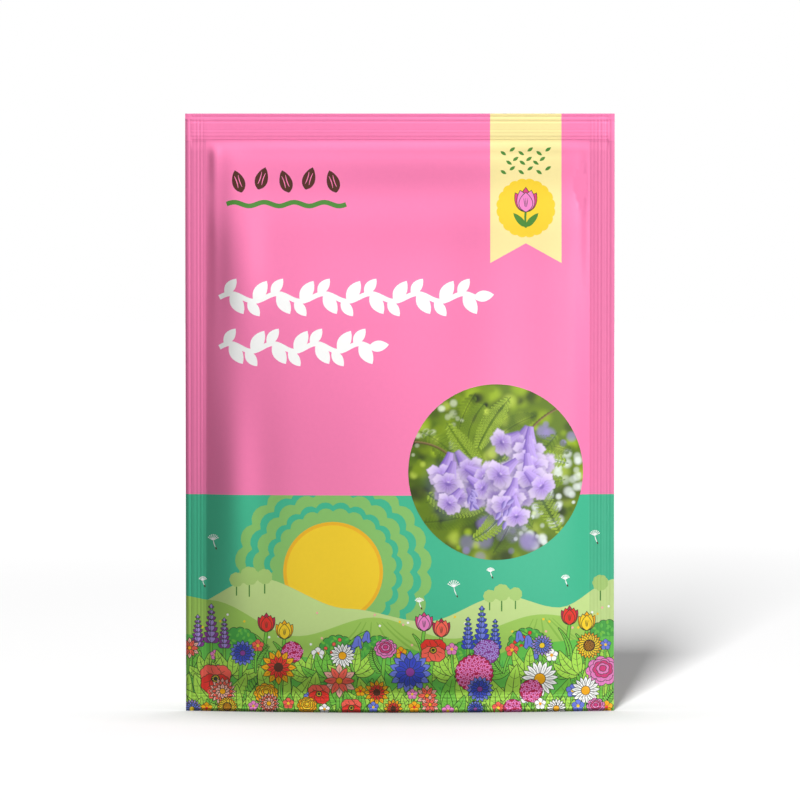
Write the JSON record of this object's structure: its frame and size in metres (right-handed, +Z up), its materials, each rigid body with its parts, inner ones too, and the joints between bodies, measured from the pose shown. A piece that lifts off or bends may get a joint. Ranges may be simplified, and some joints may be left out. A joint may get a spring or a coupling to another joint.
{
  "type": "seed packet",
  "caption": "Flat rectangular seed sachet of printed film, crimp-sealed along every edge, with a shallow pillow bulge, standing on its gently bowed bottom seal.",
  "frame": {"origin": "centre of the sachet's underside, where the bottom seal stands", "axes": "+Z up along the sachet's height, -Y out of the printed front, +X across it to the right as the front is read"},
  "size_m": [0.1, 0.0154, 0.1394],
  "materials": {
    "front_film": "satin",
    "back_film": "satin",
    "crimped_film": "satin",
    "crimped_green_film": "satin"
  },
  "bodies": {
    "root": {"front_panel": "front_film", "back_panel": "back_film", "top_seal": "crimped_film", "bottom_seal": "crimped_green_film", "left_seal": "crimped_film", "right_seal": "crimped_film"}
  },
  "joints": []
}
